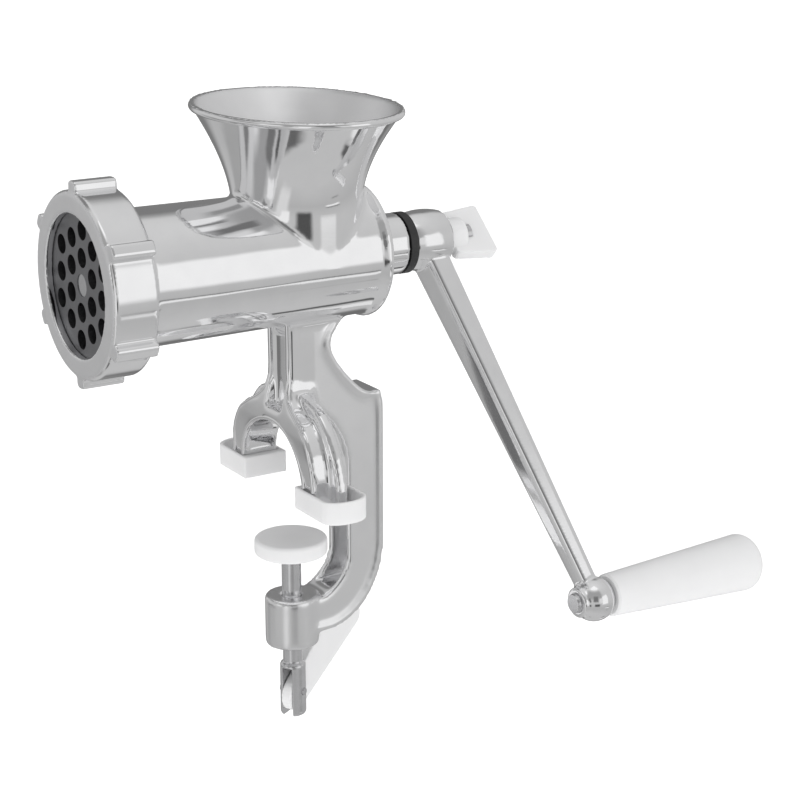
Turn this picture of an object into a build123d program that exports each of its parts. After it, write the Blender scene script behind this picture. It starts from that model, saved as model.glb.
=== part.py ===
from build123d import *
import math
import os

# Clamp-on hand crank meat grinder, millimetres.
# The origin is on the clamp screw's axis, in the plane of the table top that the feet stand on.
# +Z is up, -Y is the outlet, +Y is the crank, and the feet stand to the left and right along X.

# Clearances
RUN_FIT = 0.05
SIDE_GAP = 0.3
PLATE_GAP = 0.15
KNIFE_GAP = 0.05
KNIFE_SIDE_GAP = 1.2
AUGER_GAP = 0.5
NOTCH_GAP = 0.25
WING_SIDE_GAP = 0.2
BOOT_ROOM = 0.7
CUT_OVER = 1.0

# Barrel and mouth
AXIS_Z = 95.0
BORE_R = 22.2
BARREL_WALL = 4.2
BARREL_REAR_WALL = 3.4
MOUTH_FRONT_Y = -84.0
MOUTH_WALL = 1.85
MOUTH_L = 13.0
MOUTH_SHOULDER = 2.5
PLATE_LEDGE = 2.4
CHAMBER_L = 12.0
BORE_END_Y = 26.5
BEAD_Y = 31.5
BEAD_RISE = 1.3
BEAD_HALF = 2.2
NECK_START_Y = 35.5
NECK_END_Y = 50.0
NECK_WALL = 2.9
DOME_BULGE = 0.8

# Hopper: an oval mouth flaring from a round throat
HOPPER_Y = 5.0
THROAT_STEP = 1.0
THROAT_TOP = 22.0
RIM_TOP = 59.5
RIM_HALF_X = 50.4
RIM_HALF_Y = 38.1
HOPPER_WALL = 2.6
FLARE_POWER = 1.66
FLARE_STEPS = 6

# Plate, knife and ring nut
PLATE_R = 31.0
PLATE_T = 4.5
PLATE_LIFT = 1.7
PLATE_HOLE_R = 3.75
PLATE_PITCH = 10.6
PLATE_ROWS = (3, 4, 5, 4, 3)
PLATE_TURN = 24.0
PIN_R = 1.6
PIN_L = 5.0
NOTCH_DEPTH = 2.6
KNIFE_T = 4.0
KNIFE_HUB_R = 9.5
KNIFE_HUB_T = 8.0
KNIFE_BLADE_W = 8.0
KNIFE_BEVEL = 1.0
KNIFE_BLADES = 4
RING_LIP_T = 3.3
RING_LIP_W = 4.0
RING_WALL = 2.45
RING_DEPTH = 18.5
RING_EDGE = 1.4
RING_LUGS = 6
LUG_RISE = 3.7
LUG_ROOT = 2.0
LUG_W = 6.0
LUG_INSET = 0.8
LUG_CORNER = 1.8

# Auger and its bearing
CORE_FRONT_R = 7.5
CORE_REAR_R = 11.0
FLIGHT_PITCH = 28.0
FLIGHT_T = 4.0
FLIGHT_ROOT = 2.0
STUD_SQUARE = 8.0
STUD_TIP_R = 4.2
STUD_TIP_IN = 0.3
STUD_ROOT = 16.0
THRUST_T = 1.6
THRUST_IN = 4.2
JOURNAL_R = 7.4
BUSH_WALL = 2.1
SEAL_T = 3.5
TANG_SQUARE = 10.0

# Crank
HUB_L = 17.0
HUB_CROWN = 1.2
TANG_SHORT = 1.0
CRANK_RADIUS = 156.5
CRANK_ANGLE = 29.6
CRANK_LEAN_Y = 95.0
ARM_START = 6.8
ARM_STOP = 5.4
ARM_W_HUB = 14.5
ARM_T_HUB = 10.5
ARM_W_BALL = 8.4
ARM_T_BALL = 7.6
ARM_CORNER = 2.2
BALL_WALL = 5.8
BALL_FLAT = 5.6
NUB_WALL = 3.0
NUB_L = 8.6

# Grip and its pin
GRIP_L = 77.5
GRIP_R_FRONT = 8.7
GRIP_R_BACK = 12.0
GRIP_FRONT_EDGE = 0.8
GRIP_END_ROUND = 8.5
GRIP_PIN_R = 3.2
GRIP_PIN_SHORT = 15.5
GRIP_WASHER_T = 1.0
GRIP_WASHER_W = 2.8
PIN_HEAD_W = 0.8
PIN_HEAD_T = 1.6
CLIP_W = 2.2
CLIP_T = 0.8
CLIP_ROOM = 1.1
CLIP_SETBACK = 4.0
CAP_SETBACK = 3.0

# Thumb screw that holds the crank on
THUMB_STUD_R = 4.0
THUMB_STUD_L = 30.0
THUMB_STUD_IN = 15.0
THUMB_TIP_ROOM = 2.0
THUMB_WASHER_R = 9.0
THUMB_WASHER_T = 1.6
THUMB_HUB_WALL = 3.4
THUMB_HUB_L = 9.0
THUMB_HUB_ROUND = 2.0
THUMB_WING_START = 2.0
THUMB_WING_L = 21.0
THUMB_WING_HALF_ROOT = 10.0
THUMB_WING_HALF_END = 12.0
THUMB_WING_CORNER = 1.8
THUMB_WING_T = 5.0
THUMB_WING_ANGLE = 42.0

# Stand: post, fork, fins and boots
POST_HALF = 8.2
POST_FRONT_Y = -3.9
POST_BACK_Y = 6.0
POST_BURY = 19.0
POST_LIP = 2.6
POST_RECESS = 1.8
POST_FLARE_Z = 47.0
FLARE_OUT_X = 3.5
FLARE_OUT_Z = 4.75
FOOT_FRONT_Y = -7.4
FOOT_BACK_Y = 7.8
LIMB_OUTER_X = 33.5
LIMB_INNER_X = 24.0
LIMB_STRAIGHT_Z = 9.5
LIMB_BULGE = 1.8
LIMB_BEND_X = 2.8
LIMB_BEND_Z = 15.2
ARCH_TOP_Z = 29.5
SHOULDER_X = 21.0
SHOULDER_Z = 34.5
FIN_X = 39.8
FIN_TOP_Z = 45.0
FIN_T = 5.0
FIN_Y = 1.6
FIN_BEND_X = 5.2
FIN_BEND_Z = 16.0
FIN_STEP_X = 2.0
FIN_STEP_Z = 4.0
FIN_KNEE_DROP = 7.5
BOOT_FLOOR = 3.0
BOOT_H = 9.1
BOOT_WALL = 1.4
BOOT_IN_X = 3.5
BOOT_OUT_X = 8.2
BOOT_END_DEPTH = 6.5

# C-arm and clamp boss
ARM_BACK_Y = 38.5
ARM_FRONT_Y = 22.0
ARM_HALF = 8.6
ARM_START_Y = 1.1
WAIST_Y = 14.4
WAIST_DROP = 34.5
WAIST_TOP_OUT = 9.0
WAIST_LOW_OUT = 6.0
WAIST_LOW_DROP = 12.0
ARM_SHOULDER_Z = 24.0
SHOULDER_RUN_Y = 5.0
SHOULDER_RUN_Z = 14.0
THROAT_TOP_Z = 37.0
THROAT_BEND_Y = 17.0
THROAT_BEND_Z = 25.0
THROAT_END_Z = 8.0
LOWER_BEND_Z = -32.0
LOWER_MID_Y = 15.5
LOWER_MID_RISE = 2.0
BEAD_SIDE = 1.0
BEAD_W = 2.6
CHANNEL_WALL = 2.8
CHANNEL_FLOOR = 4.6
CHANNEL_OPEN = 12.0
CHANNEL_TOP_Z = 2.0
CHANNEL_BOTTOM_Z = -44.0
ARM_BOTTOM_Z = -60.5
ARM_CORNER_Y = 28.0
ARM_CORNER_Z = -25.0
BOSS_WALL = 7.0
BOSS_TOP_Z = -45.0
BOSS_BOTTOM_Z = -66.0
BOSS_EDGE = 0.8

# Clamp screw, pad and wing lever
SCREW_R = 4.0
PAD_TOP_Z = -20.2
PAD_T = 6.8
PAD_R = 14.8
PAD_EDGE = 1.5
SPIGOT_R = 2.6
SPIGOT_L = 4.6
SPIGOT_GROOVE = 0.9
GROOVE_DEPTH = 0.6
PAD_CLIP_W = 2.0
PAD_CLIP_T = 0.8
PAD_CLIP_ROOM = 0.6
CLEVIS_TOP_Z = -74.5
CLEVIS_BOTTOM_Z = -98.0
CLEVIS_STEP = 1.3
CLEVIS_ROUND = 1.6
CLEVIS_SLOT_TOP = 2.0
CLEVIS_PIN_R = 1.5
CLEVIS_PIN_Z = -87.4
CLEVIS_PIN_OUT = 0.3
CLEVIS_ANGLE = 120.0
WING_T = 4.2
WING_L = 55.0
WING_ROOT_UP = 4.8
WING_ROOT_DOWN = 9.4
WING_END_UP = 12.0
WING_END_DOWN = 13.5
WING_RISE = 27.0
WING_CORNER = 4.5

# Sizes and places that follow from the ones above
BARREL_R = BORE_R + BARREL_WALL
BARREL_REAR_R = BORE_R + BARREL_REAR_WALL
BEAD_R = BARREL_REAR_R + BEAD_RISE
THROAT_R = BARREL_R - THROAT_STEP
MOUTH_R = PLATE_R + PLATE_GAP + MOUTH_WALL
MOUTH_BACK_Y = MOUTH_FRONT_Y + MOUTH_L
CHAMBER_R = PLATE_R - PLATE_LEDGE
CHAMBER_BACK_Y = MOUTH_FRONT_Y + CHAMBER_L
KNIFE_R = CHAMBER_R - KNIFE_SIDE_GAP
RING_OPENING_R = PLATE_R - RING_LIP_W
RING_OUTER_R = MOUTH_R + RING_WALL
PLATE_FRONT_Y = MOUTH_FRONT_Y - PLATE_LIFT
PLATE_BACK_Y = PLATE_FRONT_Y + PLATE_T
RING_FRONT_Y = PLATE_FRONT_Y - RING_LIP_T
KNIFE_FRONT_Y = PLATE_BACK_Y + KNIFE_GAP
AUGER_FRONT_Y = KNIFE_FRONT_Y + KNIFE_HUB_T
AUGER_BACK_Y = BORE_END_Y - THRUST_T - SIDE_GAP
THRUST_R = BORE_R - THRUST_IN
BUSH_R = JOURNAL_R + BUSH_WALL
NECK_R = BUSH_R + NECK_WALL
SEAL_HOLE_R = TANG_SQUARE / math.sqrt(2) + SIDE_GAP
HUB_R = NECK_R
HUB_END_R = HUB_R - HUB_CROWN
HUB_FRONT_Y = NECK_END_Y + SEAL_T
HUB_BACK_Y = HUB_FRONT_Y + HUB_L
HUB_MID_Y = (HUB_FRONT_Y + HUB_BACK_Y) / 2
THUMB_HUB_R = THUMB_STUD_R + THUMB_HUB_WALL
THUMB_FRONT_Y = HUB_BACK_Y + THUMB_WASHER_T
THUMB_TIP_Y = HUB_BACK_Y - TANG_SHORT - THUMB_STUD_IN
BALL_X = CRANK_RADIUS * math.sin(math.radians(CRANK_ANGLE))
BALL_Z = AXIS_Z - CRANK_RADIUS * math.cos(math.radians(CRANK_ANGLE))
NUB_R = GRIP_PIN_R + NUB_WALL
BALL_R = GRIP_PIN_R + BALL_WALL
CLIP_R = GRIP_PIN_R + CLIP_W
GRIP_CAP_R = CLIP_R + CLIP_ROOM
GRIP_FRONT_Y = CRANK_LEAN_Y + BALL_FLAT + GRIP_WASHER_T
GRIP_PIN_END_Y = GRIP_FRONT_Y + GRIP_L - GRIP_PIN_SHORT
POST_TOP_Z = AXIS_Z - POST_BURY
WAIST_Z = AXIS_Z - WAIST_DROP
LIMB_MID_X = (LIMB_INNER_X + LIMB_OUTER_X) / 2
BOOT_INNER_X = LIMB_INNER_X - BOOT_IN_X
BOOT_OUTER_X = FIN_X + BOOT_OUT_X
BOOT_HALF_W = (FOOT_BACK_Y - FOOT_FRONT_Y) / 2 + BOOT_ROOM + BOOT_WALL
BOOT_SHIFT_Y = (FOOT_BACK_Y + FOOT_FRONT_Y) / 2
BOSS_R = SCREW_R + BOSS_WALL
PAD_BOTTOM_Z = PAD_TOP_Z - PAD_T
GROOVE_R = SPIGOT_R - GROOVE_DEPTH
GROOVE_Z = PAD_BOTTOM_Z + SPIGOT_L - 2 * SPIGOT_GROOVE
PAD_CLIP_R = SPIGOT_R + PAD_CLIP_W
CLEVIS_R = SCREW_R + CLEVIS_STEP
ON_BASE = (Align.CENTER, Align.CENTER, Align.MIN)


def on_barrel(shape):
    """Turns a shape built along +Z so that it lies along +Y on the barrel's axis."""
    return Pos(0, 0, AXIS_Z) * Rot(-90, 0, 0) * shape


def on_grip(shape):
    """Turns a shape built along +Z so that it lies along +Y on the grip's axis."""
    return Pos(BALL_X, 0, BALL_Z) * Rot(-90, 0, 0) * shape


def rod(radius, start, end):
    """A cylinder on the Z axis from one height to another."""
    return Pos(0, 0, start) * Cylinder(radius, end - start, align=ON_BASE)


def square_rod(side, start, end):
    """A square bar on the Z axis from one height to another."""
    return Pos(0, 0, start) * Box(side, side, end - start, align=ON_BASE)


def washer(outer, inner, start, thickness):
    """A flat ring on the Z axis."""
    return rod(outer, start, start + thickness) - rod(inner, start, start + thickness)


def bar(x_from, x_to, y_from, y_to, z_from, z_to):
    """A box between two corners."""
    size = Box(x_to - x_from, y_to - y_from, z_to - z_from, align=(Align.MIN, Align.MIN, Align.MIN))
    return Pos(x_from, y_from, z_from) * size


def barrel_outside():
    """The barrel's skin: mouth collar, tapering tube, end bead, domed shoulder and neck."""
    back = MOUTH_BACK_Y + MOUTH_SHOULDER
    dome_start = BEAD_Y + BEAD_HALF
    with BuildPart() as skin:
        with BuildSketch(Plane.XZ):
            with BuildLine():
                Polyline(
                    (0, MOUTH_FRONT_Y),
                    (MOUTH_R, MOUTH_FRONT_Y),
                    (MOUTH_R, MOUTH_BACK_Y),
                    (BARREL_R, back),
                    (BARREL_REAR_R, BEAD_Y - BEAD_HALF),
                )
                bead_start = (BARREL_REAR_R, BEAD_Y - BEAD_HALF)
                ThreePointArc(bead_start, (BEAD_R, BEAD_Y), (BARREL_REAR_R, dome_start))
                dome_mid_y = dome_start + DOME_BULGE * (NECK_START_Y - dome_start)
                dome_mid = ((NECK_R + BARREL_REAR_R) / 2, dome_mid_y)
                ThreePointArc((BARREL_REAR_R, dome_start), dome_mid, (NECK_R, NECK_START_Y))
                Polyline((NECK_R, NECK_START_Y), (NECK_R, NECK_END_Y), (0, NECK_END_Y), (0, MOUTH_FRONT_Y))
            make_face()
        revolve(axis=Axis.Z)
    return on_barrel(skin.part)


def barrel_inside():
    """What is bored out of the barrel: plate seat, knife chamber, bore and bush seat."""
    cut = rod(PLATE_R + PLATE_GAP, MOUTH_FRONT_Y, PLATE_BACK_Y)
    cut += rod(CHAMBER_R, MOUTH_FRONT_Y, CHAMBER_BACK_Y)
    cut += rod(BORE_R, MOUTH_FRONT_Y, BORE_END_Y)
    cut += rod(BUSH_R, MOUTH_FRONT_Y, NECK_END_Y)
    return on_barrel(cut)


def flare(share):
    """How far the hopper has opened, 0 at the throat and 1 at the rim, by height."""
    return share**FLARE_POWER


def hopper_solid(inset):
    """The hopper as a solid, with its wall taken off when it is the inside."""
    with BuildPart() as solid:
        for i in range(FLARE_STEPS + 1):
            height = THROAT_TOP + (RIM_TOP - THROAT_TOP) * i / FLARE_STEPS
            opened = flare(i / FLARE_STEPS)
            half_x = THROAT_R + (RIM_HALF_X - THROAT_R) * opened - inset
            half_y = THROAT_R + (RIM_HALF_Y - THROAT_R) * opened - inset
            with BuildSketch(Plane.XY.offset(height)):
                Ellipse(half_x, half_y)
        loft()
    throat = rod(THROAT_R - inset, 0, THROAT_TOP)
    return Pos(0, HOPPER_Y, AXIS_Z) * (throat + solid.part)


def fork_front():
    """Half of the fork seen from the front: post, limb and the arch between the limbs."""
    thick = FOOT_BACK_Y - FOOT_FRONT_Y + 2 * LIMB_BULGE
    with BuildPart() as front:
        with BuildSketch(Plane.XZ.offset(-FOOT_BACK_Y)):
            with BuildLine():
                Polyline((0, POST_TOP_Z), (POST_HALF, POST_TOP_Z), (POST_HALF, POST_FLARE_Z))
                waist = (POST_HALF + FLARE_OUT_X, SHOULDER_Z + FLARE_OUT_Z)
                ThreePointArc((POST_HALF, POST_FLARE_Z), waist, (SHOULDER_X, SHOULDER_Z))
                bend = (LIMB_OUTER_X - LIMB_BEND_X, LIMB_STRAIGHT_Z + LIMB_BEND_Z)
                ThreePointArc((SHOULDER_X, SHOULDER_Z), bend, (LIMB_OUTER_X, LIMB_STRAIGHT_Z))
                Polyline(
                    (LIMB_OUTER_X, LIMB_STRAIGHT_Z),
                    (LIMB_OUTER_X, BOOT_FLOOR),
                    (LIMB_INNER_X, BOOT_FLOOR),
                    (LIMB_INNER_X, LIMB_STRAIGHT_Z),
                )
                arch_rise = ARCH_TOP_Z - LIMB_STRAIGHT_Z
                EllipticalCenterArc((0, LIMB_STRAIGHT_Z), LIMB_INNER_X, arch_rise, start_angle=0, arc_size=90)
                Line((0, ARCH_TOP_Z), (0, POST_TOP_Z))
            make_face()
        extrude(amount=thick)
    return front.part


def fork_side():
    """The fork seen from the side: its limbs swell forward above the feet."""
    with BuildPart() as side:
        with BuildSketch(Plane.YZ.offset(-FIN_X)):
            with BuildLine():
                Line((FOOT_FRONT_Y, BOOT_FLOOR), (FOOT_FRONT_Y, LIMB_STRAIGHT_Z))
                bulge = (FOOT_FRONT_Y - LIMB_BULGE / 2, (LIMB_STRAIGHT_Z + POST_FLARE_Z) / 2)
                ThreePointArc((FOOT_FRONT_Y, LIMB_STRAIGHT_Z), bulge, (POST_FRONT_Y, POST_FLARE_Z))
                Polyline(
                    (POST_FRONT_Y, POST_FLARE_Z),
                    (POST_FRONT_Y, POST_TOP_Z),
                    (POST_BACK_Y, POST_TOP_Z),
                    (POST_BACK_Y, POST_FLARE_Z),
                    (FOOT_BACK_Y, LIMB_STRAIGHT_Z),
                    (FOOT_BACK_Y, BOOT_FLOOR),
                    (FOOT_FRONT_Y, BOOT_FLOOR),
                )
            make_face()
        extrude(amount=2 * FIN_X)
    return side.part


def fork():
    """The post with its two limbs, and the long recess between the lips on the post's front."""
    half = fork_front()
    both = half + mirror(half, about=Plane.YZ)
    recess_half = POST_HALF - POST_LIP
    recess_top = AXIS_Z - BARREL_R - POST_LIP
    recess_bottom = ARCH_TOP_Z + 2 * POST_LIP
    front = FOOT_FRONT_Y - LIMB_BULGE
    recess = bar(-recess_half, recess_half, front, POST_FRONT_Y + POST_RECESS, recess_bottom, recess_top)
    return (both & fork_side()) - recess


def fins():
    """The thin outer web that runs down the outside of each limb into its foot."""
    with BuildPart() as half:
        with BuildSketch(Plane.XZ.offset(-FIN_Y - FIN_T / 2)):
            with BuildLine():
                Polyline(
                    (0, FIN_TOP_Z),
                    (0, SHOULDER_Z),
                    (SHOULDER_X, SHOULDER_Z - FIN_KNEE_DROP),
                    (LIMB_MID_X, LIMB_STRAIGHT_Z),
                    (LIMB_MID_X, BOOT_FLOOR),
                    (FIN_X, BOOT_FLOOR),
                    (FIN_X, LIMB_STRAIGHT_Z),
                )
                top = (SHOULDER_X + FIN_STEP_X, SHOULDER_Z + FIN_STEP_Z)
                bend = (FIN_X - FIN_BEND_X, LIMB_STRAIGHT_Z + FIN_BEND_Z)
                ThreePointArc((FIN_X, LIMB_STRAIGHT_Z), bend, top)
                Line(top, (0, FIN_TOP_Z))
            make_face()
        extrude(amount=FIN_T)
    return half.part + mirror(half.part, about=Plane.YZ)


def arm_outline(inset):
    """The C-arm seen from the side, as a sketch on the YZ plane, drawn in by an inset at its back."""
    back = ARM_BACK_Y - inset
    waist = WAIST_Y - inset
    top = (waist + WAIST_TOP_OUT, POST_TOP_Z)
    run = (back - SHOULDER_RUN_Y, ARM_SHOULDER_Z + SHOULDER_RUN_Z - inset / 2)
    with BuildSketch(Plane.YZ) as outline:
        with BuildLine():
            Line((ARM_START_Y, POST_TOP_Z), top)
            Spline(
                top,
                (waist, WAIST_Z),
                (waist + WAIST_LOW_OUT, WAIST_Z - WAIST_LOW_DROP),
                run,
                (back, ARM_SHOULDER_Z),
                tangents=((-0.5, -1), (0, -1)),
            )
            Line((back, ARM_SHOULDER_Z), (back, ARM_CORNER_Z))
            corner_y = ARM_CORNER_Y - inset
            corner_z = ARM_CORNER_Z - ARM_BOTTOM_Z - inset
            centre = (back - corner_y, ARM_CORNER_Z)
            EllipticalCenterArc(centre, corner_y, corner_z, start_angle=-90, arc_size=90)
            bottom = ARM_BOTTOM_Z + inset
            web_end = BOSS_TOP_Z - LOWER_MID_RISE
            Polyline((back - corner_y, bottom), (0, bottom), (0, web_end))
            lower_mid = (LOWER_MID_Y, BOSS_TOP_Z + LOWER_MID_RISE)
            ThreePointArc((0, web_end), lower_mid, (ARM_FRONT_Y, LOWER_BEND_Z))
            Line((ARM_FRONT_Y, LOWER_BEND_Z), (ARM_FRONT_Y, THROAT_END_Z))
            throat_mid = (THROAT_BEND_Y, THROAT_BEND_Z)
            ThreePointArc((ARM_FRONT_Y, THROAT_END_Z), throat_mid, (ARM_START_Y, THROAT_TOP_Z))
            Line((ARM_START_Y, THROAT_TOP_Z), (ARM_START_Y, POST_TOP_Z))
        make_face()
    return outline.sketch


def c_arm():
    """The C-arm: a web with a bead round its back edge and a channel open to the front."""
    web = extrude(arm_outline(0), amount=ARM_HALF, both=True)
    rim = extrude(arm_outline(0) - arm_outline(BEAD_W), amount=ARM_HALF + BEAD_SIDE, both=True)
    half = ARM_HALF - CHANNEL_WALL
    front = ARM_FRONT_Y - CHANNEL_OPEN
    channel = bar(-half, half, front, ARM_BACK_Y - CHANNEL_FLOOR, CHANNEL_BOTTOM_Z, CHANNEL_TOP_Z)
    return web + rim - channel


def clamp_boss():
    """The boss that the clamp screw runs through."""
    boss = rod(BOSS_R, BOSS_BOTTOM_Z, BOSS_TOP_Z)
    return fillet(boss.edges().filter_by(GeomType.CIRCLE), BOSS_EDGE)


def body_casting():
    """The aluminium body in one casting."""
    body = barrel_outside() + hopper_solid(0)
    body = body + fork()
    body = body + fins()
    body = body + c_arm()
    body = body + clamp_boss()
    body = body - hopper_solid(HOPPER_WALL)
    body = body - barrel_inside()
    body = body - rod(SCREW_R + RUN_FIT, BOSS_BOTTOM_Z - CUT_OVER, BOSS_TOP_Z + CUT_OVER)
    return body - plate_locating_pin()


def plate_locating_pin():
    """The peg in the mouth that stops the plate turning."""
    peg = rod(PIN_R, PLATE_BACK_Y - PIN_L / 2, PLATE_BACK_Y + PIN_L / 2)
    return on_barrel(Pos(0, PLATE_R - NOTCH_DEPTH + PIN_R, 0) * peg)


def rear_bearing_bush():
    """The plain bush pressed into the neck."""
    return on_barrel(washer(BUSH_R, JOURNAL_R + RUN_FIT, BORE_END_Y, NECK_END_Y - BORE_END_Y))


def ring_nut():
    """The ring nut: a lip over the plate's edge, a skirt over the mouth and six lugs to turn it by."""
    back = RING_FRONT_Y + RING_DEPTH
    ring = rod(RING_OUTER_R, RING_FRONT_Y, back)
    ring = chamfer(ring.edges().filter_by(GeomType.CIRCLE), RING_EDGE)
    lug_l = RING_DEPTH - 2 * LUG_INSET
    for i in range(RING_LUGS):
        lug = Box(2 * (LUG_RISE + LUG_ROOT), LUG_W, lug_l, align=ON_BASE)
        lug = fillet(lug.edges().filter_by(Axis.Z), LUG_CORNER)
        turn = Rot(0, 0, (i + 0.5) * 360 / RING_LUGS)
        ring += turn * Pos(RING_OUTER_R - LUG_ROOT, 0, RING_FRONT_Y + LUG_INSET) * lug
    ring -= rod(RING_OPENING_R, RING_FRONT_Y - CUT_OVER, back)
    ring -= rod(MOUTH_R + RUN_FIT, PLATE_FRONT_Y, back + CUT_OVER)
    return on_barrel(ring)


def plate_holes():
    """Centres of the plate's holes: rows of three, four, five, four and three."""
    rise = PLATE_PITCH * math.sin(math.radians(60))
    centres = []
    for row, count in enumerate(PLATE_ROWS):
        across = (row - (len(PLATE_ROWS) - 1) / 2) * rise
        centres += [((i - (count - 1) / 2) * PLATE_PITCH, across) for i in range(count)]
    return centres


def grinding_plate():
    """The steel hole plate, with a notch for its peg."""
    plate = rod(PLATE_R, PLATE_FRONT_Y, PLATE_BACK_Y)
    for x, y in plate_holes():
        is_centre = abs(x) + abs(y) < PLATE_PITCH / 2
        radius = STUD_TIP_R + RUN_FIT if is_centre else PLATE_HOLE_R
        hole = rod(radius, PLATE_FRONT_Y - CUT_OVER, PLATE_BACK_Y + CUT_OVER)
        plate -= Rot(0, 0, -PLATE_TURN) * Pos(x, y, 0) * hole
    half = PIN_R + NOTCH_GAP
    root = PLATE_R - NOTCH_DEPTH - NOTCH_GAP
    notch = bar(-half, half, root, PLATE_R + CUT_OVER, PLATE_FRONT_Y - CUT_OVER, PLATE_BACK_Y + CUT_OVER)
    return on_barrel(plate - notch)


def cutting_knife():
    """The four-bladed knife, with a square hole over the auger's stud."""
    knife = rod(KNIFE_HUB_R, KNIFE_FRONT_Y, KNIFE_FRONT_Y + KNIFE_HUB_T)
    for i in range(KNIFE_BLADES):
        with BuildPart() as blade:
            with BuildSketch(Plane.YZ):
                with BuildLine():
                    Polyline(
                        (-KNIFE_BLADE_W / 2, KNIFE_FRONT_Y),
                        (KNIFE_BLADE_W / 2, KNIFE_FRONT_Y),
                        (KNIFE_BLADE_W / 2 - KNIFE_BEVEL, KNIFE_FRONT_Y + KNIFE_T),
                        (0, KNIFE_FRONT_Y + KNIFE_T),
                        close=True,
                    )
                make_face()
            extrude(amount=KNIFE_R)
        knife += Rot(0, 0, (i + 0.5) * 360 / KNIFE_BLADES) * blade.part
    hole_end = KNIFE_FRONT_Y + KNIFE_HUB_T + CUT_OVER
    hole = square_rod(STUD_SQUARE + 2 * RUN_FIT, KNIFE_FRONT_Y - CUT_OVER, hole_end)
    return on_barrel(knife - hole)


def auger():
    """The screw that feeds the meat: core, one flight, journal and square tang for the crank."""
    length = AUGER_BACK_Y - AUGER_FRONT_Y
    core = Pos(0, 0, AUGER_FRONT_Y) * Cone(CORE_FRONT_R, CORE_REAR_R, length, align=ON_BASE)
    flight_r = BORE_R - AUGER_GAP
    inner_r = CORE_FRONT_R - FLIGHT_ROOT
    middle = (flight_r + inner_r) / 2
    path = Helix(FLIGHT_PITCH, length - FLIGHT_T, middle)
    start = Plane(path @ 0, x_dir=(1, 0, 0), z_dir=path % 0)
    flight = sweep(start * Rectangle(flight_r - inner_r, FLIGHT_T), path=path, is_frenet=True)
    flight = Pos(0, 0, AUGER_FRONT_Y + FLIGHT_T / 2) * flight
    screw = core + (flight & rod(flight_r, AUGER_FRONT_Y, AUGER_BACK_Y))
    screw += rod(JOURNAL_R, AUGER_BACK_Y, NECK_END_Y)
    screw += square_rod(TANG_SQUARE, NECK_END_Y, HUB_BACK_Y - TANG_SHORT)
    screw -= square_rod(STUD_SQUARE, AUGER_FRONT_Y - CUT_OVER, AUGER_FRONT_Y + STUD_ROOT)
    screw -= rod(THUMB_STUD_R + RUN_FIT, THUMB_TIP_Y - THUMB_TIP_ROOM, HUB_BACK_Y)
    return on_barrel(screw)


def auger_drive_stud():
    """The square steel stud set in the auger's nose, with a round tip that runs in the plate."""
    stud = square_rod(STUD_SQUARE, KNIFE_FRONT_Y, AUGER_FRONT_Y + STUD_ROOT)
    stud += rod(STUD_TIP_R, PLATE_FRONT_Y + STUD_TIP_IN, KNIFE_FRONT_Y)
    return on_barrel(stud)


def thrust_washer():
    """The washer between the auger's back and the end wall of the bore."""
    return on_barrel(washer(THRUST_R, JOURNAL_R + RUN_FIT, AUGER_BACK_Y, THRUST_T))


def shaft_seal_ring():
    """The black ring between the neck and the crank's hub."""
    return on_barrel(washer(NECK_R, SEAL_HOLE_R, NECK_END_Y, SEAL_T))


def crank_arm():
    """The crank: a barrel-shaped hub, a tapering arm that leans back, and a ball end."""
    with BuildPart() as hub:
        with BuildSketch(Plane.XZ):
            with BuildLine():
                front = (HUB_END_R, HUB_FRONT_Y)
                back = (HUB_END_R, HUB_BACK_Y)
                Polyline(back, (0, HUB_BACK_Y), (0, HUB_FRONT_Y), front)
                ThreePointArc(front, (HUB_R, HUB_MID_Y), back)
            make_face()
        revolve(axis=Axis.Z)
    middle = Vector(0, HUB_MID_Y, AXIS_Z)
    ball = Vector(BALL_X, CRANK_LEAN_Y, BALL_Z)
    way = (ball - middle).normalized()
    side = Vector(0, 1, 0).cross(way).normalized()
    with BuildPart() as arm:
        with BuildSketch(Plane(middle + way * ARM_START, x_dir=side, z_dir=way)):
            RectangleRounded(ARM_W_HUB, ARM_T_HUB, ARM_CORNER)
        with BuildSketch(Plane(ball - way * ARM_STOP, x_dir=side, z_dir=way)):
            RectangleRounded(ARM_W_BALL, ARM_T_BALL, ARM_CORNER)
        loft()
    end = Pos(BALL_X, CRANK_LEAN_Y, BALL_Z) * Sphere(BALL_R)
    end -= on_grip(rod(BALL_R, CRANK_LEAN_Y + BALL_FLAT, CRANK_LEAN_Y + 2 * BALL_R))
    end += on_grip(rod(NUB_R, CRANK_LEAN_Y - NUB_L, CRANK_LEAN_Y))
    crank = on_barrel(hub.part) + arm.part + end
    socket = square_rod(TANG_SQUARE + 2 * RUN_FIT, HUB_FRONT_Y - CUT_OVER, HUB_BACK_Y + CUT_OVER)
    crank -= on_barrel(socket)
    return crank - on_grip(rod(GRIP_PIN_R, CRANK_LEAN_Y - 2 * BALL_R, CRANK_LEAN_Y + 2 * BALL_R))


def thumb_screw_washer():
    """The washer under the thumb screw."""
    return on_barrel(washer(THUMB_WASHER_R, THUMB_STUD_R + SIDE_GAP, HUB_BACK_Y, THUMB_WASHER_T))


def thumb_screw_stud():
    """The steel stud moulded into the thumb screw's wing."""
    return on_barrel(rod(THUMB_STUD_R, THUMB_TIP_Y, THUMB_TIP_Y + THUMB_STUD_L))


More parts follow.
